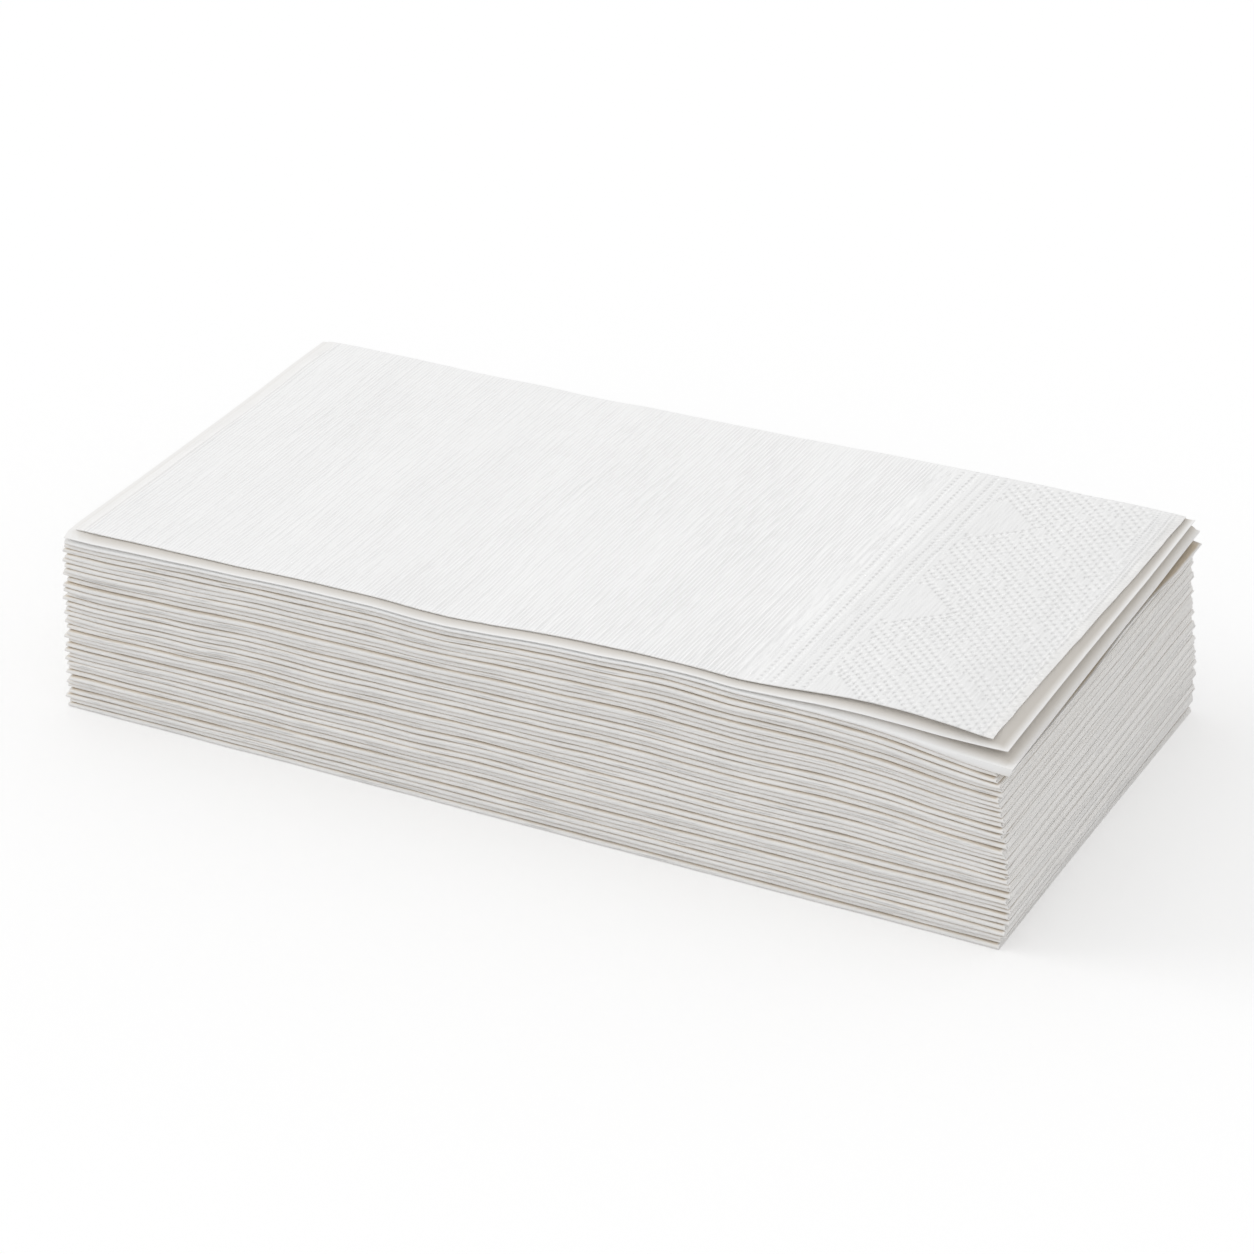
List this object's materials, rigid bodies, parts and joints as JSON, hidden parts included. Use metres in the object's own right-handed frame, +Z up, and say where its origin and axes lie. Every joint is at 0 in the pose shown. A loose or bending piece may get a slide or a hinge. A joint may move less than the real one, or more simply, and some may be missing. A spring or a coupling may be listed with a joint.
{
  "type": "stack of paper napkins",
  "caption": "Rectangular stack of white tissue napkins folded to long narrow shape, with an embossed dotted border across one end of the top napkin.",
  "frame": {"origin": "middle of the stack's footprint, on the surface that it stands on", "axes": "+X along the long side towards the cut edges with the embossed border, +Y from the front with the outer folds to the back, +Z up"},
  "size_m": [0.201, 0.104, 0.042],
  "materials": {
    "tissue": "matt, soft two-ply tissue"
  },
  "bodies": {
    "root": {"napkin_01": "tissue", "napkin_02": "tissue", "napkin_03": "tissue", "napkin_04": "tissue", "napkin_05": "tissue", "napkin_06": "tissue", "napkin_07": "tissue", "napkin_08": "tissue", "napkin_09": "tissue", "napkin_10": "tissue", "napkin_11": "tissue", "napkin_12": "tissue", "napkin_13": "tissue", "napkin_14": "tissue", "napkin_15": "tissue", "napkin_16": "tissue", "napkin_17": "tissue", "napkin_18": "tissue", "napkin_19": "tissue", "napkin_20": "tissue", "napkin_21": "tissue", "napkin_22": "tissue", "napkin_23": "tissue", "napkin_24": "tissue", "napkin_25": "tissue", "napkin_26": "tissue", "napkin_27": "tissue", "napkin_28": "tissue", "napkin_29": "tissue", "napkin_30": "tissue", "napkin_31": "tissue", "napkin_32": "tissue", "napkin_33": "tissue", "napkin_34": "tissue", "napkin_35": "tissue", "napkin_36": "tissue"}
  },
  "joints": []
}
